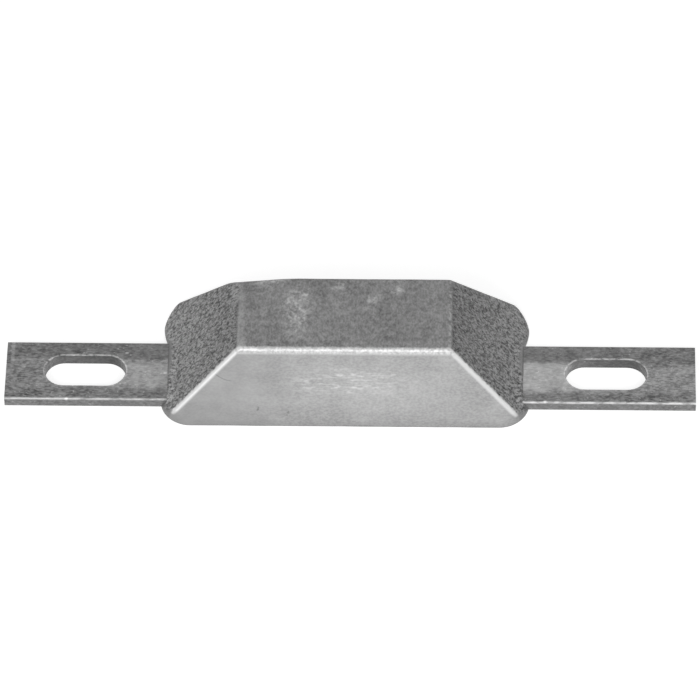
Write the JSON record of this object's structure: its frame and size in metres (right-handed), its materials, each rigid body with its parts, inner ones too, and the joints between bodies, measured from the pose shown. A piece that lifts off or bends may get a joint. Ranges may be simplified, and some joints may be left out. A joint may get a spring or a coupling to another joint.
{
  "type": "sacrificial anode",
  "caption": "Tapered cast zinc hull anode with a slotted flat steel strap cast through its base, bolted to a hull or tank to corrode in its place.",
  "frame": {"origin": "midway between the two fixing slots, on the underside that lies against the hull", "axes": "+X along the strap, +Y across it towards the side where the block overhangs more, +Z away from the hull"},
  "size_m": [0.278, 0.0622, 0.0339],
  "materials": {
    "cast_zinc": "as-cast zinc, sand-textured on the ends and smooth with bright rubbed edges elsewhere",
    "galvanised_steel": "dull galvanised mild steel, rubbed bright along its edges"
  },
  "bodies": {
    "root": {"zinc_block": "cast_zinc", "steel_strap": "galvanised_steel"}
  },
  "joints": []
}
